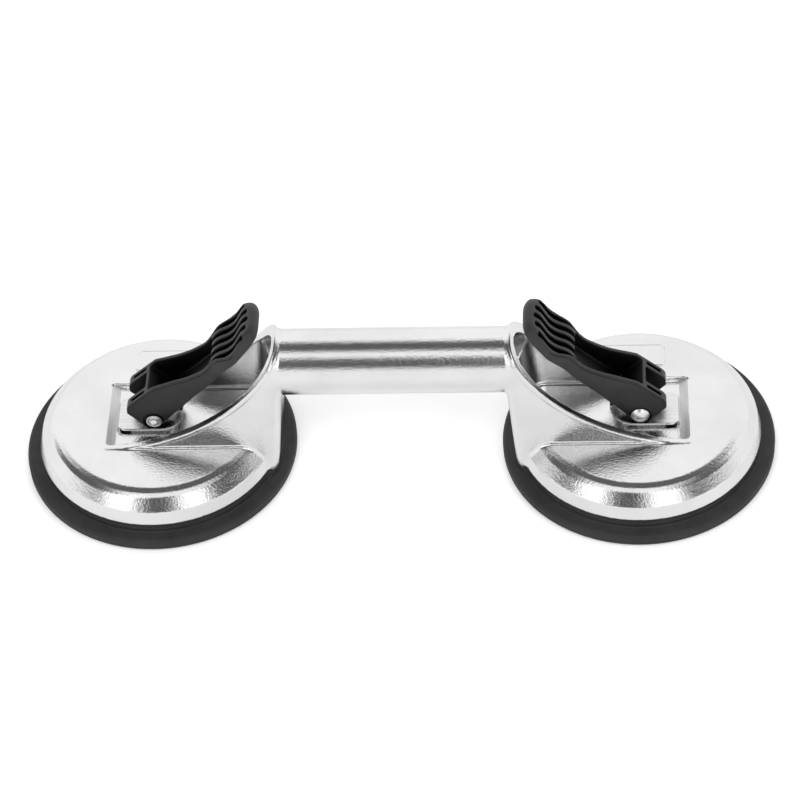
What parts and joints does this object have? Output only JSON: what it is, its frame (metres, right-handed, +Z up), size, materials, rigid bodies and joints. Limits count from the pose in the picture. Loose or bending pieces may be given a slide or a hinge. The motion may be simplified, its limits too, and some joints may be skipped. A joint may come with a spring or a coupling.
{
  "type": "glass suction cup lifter",
  "caption": "Hand lifter with a cast bridge handle joining twin round rubber suction cups, each with a flip-over cam lever that draws the cup's centre up.",
  "frame": {"origin": "midway between the two cups, on the surface that the rubber lips stand on", "axes": "+X along the handle, -Y to the front, +Z up"},
  "size_m": [0.326, 0.118, 0.083],
  "materials": {
    "cast_aluminium": "polished die casting",
    "rubber": "matt moulded",
    "zinc_steel": "zinc plated",
    "plate_steel": "bright rolled sheet",
    "lever_plastic": "satin moulded",
    "pin_steel": "bright"
  },
  "bodies": {
    "casting": {"cast_body": "cast_aluminium", "right_rubber_cup": "rubber", "right_wear_plate": "plate_steel", "left_rubber_cup": "rubber", "left_wear_plate": "plate_steel"},
    "right_stem": {"right_insert_disc": "zinc_steel", "right_cup_stud": "zinc_steel", "right_yoke": "zinc_steel", "right_pivot_pin": "pin_steel", "right_pin_washer": "pin_steel"},
    "right_lever": {"right_lever": "lever_plastic"},
    "left_stem": {"left_insert_disc": "zinc_steel", "left_cup_stud": "zinc_steel", "left_yoke": "zinc_steel", "left_pivot_pin": "pin_steel", "left_pin_washer": "pin_steel"},
    "left_lever": {"left_lever": "lever_plastic"}
  },
  "joints": [
    {"name": "right_lift", "type": "slide", "parent": "casting", "child": "right_stem", "axis": [0, 0, 1], "range_m": [0, 0.0106]},
    {"name": "right_lever_swing", "type": "hinge", "parent": "right_stem", "child": "right_lever", "pos_m": [0.1046, 0, 0.0276], "axis": [0, 1, 0], "range_deg": [0, 137]},
    {"name": "left_lift", "type": "slide", "parent": "casting", "child": "left_stem", "axis": [0, 0, 1], "range_m": [0, 0.0106]},
    {"name": "left_lever_swing", "type": "hinge", "parent": "left_stem", "child": "left_lever", "pos_m": [-0.1046, 0, 0.0276], "axis": [0, -1, 0], "range_deg": [0, 137]}
  ],
  "couplings": [
    {"joint": "right_lever_swing", "follows": "right_lift", "rad_per_m": 225.57},
    {"joint": "left_lever_swing", "follows": "left_lift", "rad_per_m": 225.57}
  ]
}
